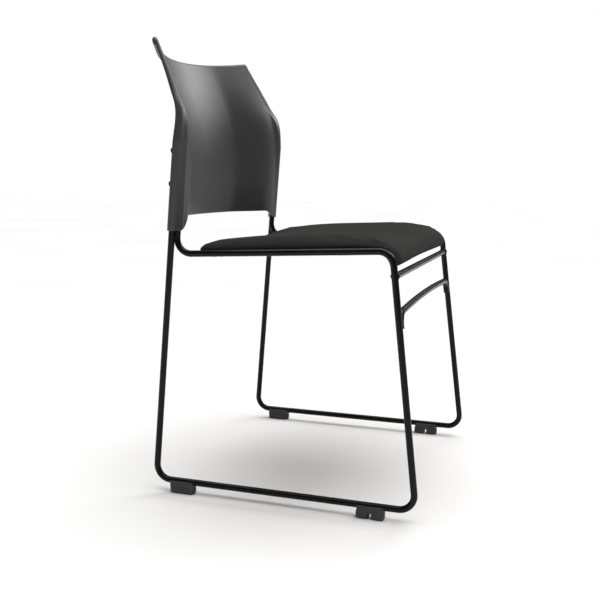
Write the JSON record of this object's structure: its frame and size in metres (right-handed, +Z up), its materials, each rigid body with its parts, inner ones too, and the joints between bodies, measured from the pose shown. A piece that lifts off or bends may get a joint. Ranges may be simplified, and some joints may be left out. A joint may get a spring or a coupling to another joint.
{
  "type": "stacking chair",
  "caption": "Armless stacking chair: bent round-rod sled frame, curved moulded back shell, upholstered waterfall seat and plastic glides under the runners.",
  "frame": {"origin": "on the floor, at the centre of the bounding box's underside", "axes": "+Z up, the chair faces -Y, +X is the sitter's left"},
  "size_m": [0.4944, 0.527, 0.78],
  "materials": {
    "powder_coat": "satin black powder coat",
    "shell_plastic": "fine satin moulded texture, charcoal",
    "glide_plastic": "matt dark grey nylon",
    "upholstery": "tight woven charcoal cloth",
    "foam": "open-cell seat foam, unseen inside the cover",
    "plywood": "sanded moulded plywood",
    "black_screw": "black oxide",
    "zinc_nut": "bright zinc plate"
  },
  "bodies": {
    "root": {"side_frame_left": "powder_coat", "side_frame_right": "powder_coat", "front_cross_rod": "powder_coat", "front_arch_brace": "powder_coat", "seat_strap_front": "powder_coat", "seat_strap_rear": "powder_coat", "back_shell": "shell_plastic", "glide_rear_left": "glide_plastic", "glide_rear_right": "glide_plastic", "glide_front_left": "glide_plastic", "glide_front_right": "glide_plastic", "seat_cover": "upholstery", "seat_foam": "foam", "seat_board": "plywood", "back_screw_lower_left": "black_screw", "back_screw_lower_right": "black_screw", "back_screw_upper_left": "black_screw", "back_screw_upper_right": "black_screw", "seat_screw_front_left": "black_screw", "seat_screw_front_right": "black_screw", "seat_screw_rear_left": "black_screw", "seat_screw_rear_right": "black_screw", "tee_nut_front_left": "zinc_nut", "tee_nut_front_right": "zinc_nut", "tee_nut_rear_left": "zinc_nut", "tee_nut_rear_right": "zinc_nut"}
  },
  "joints": []
}
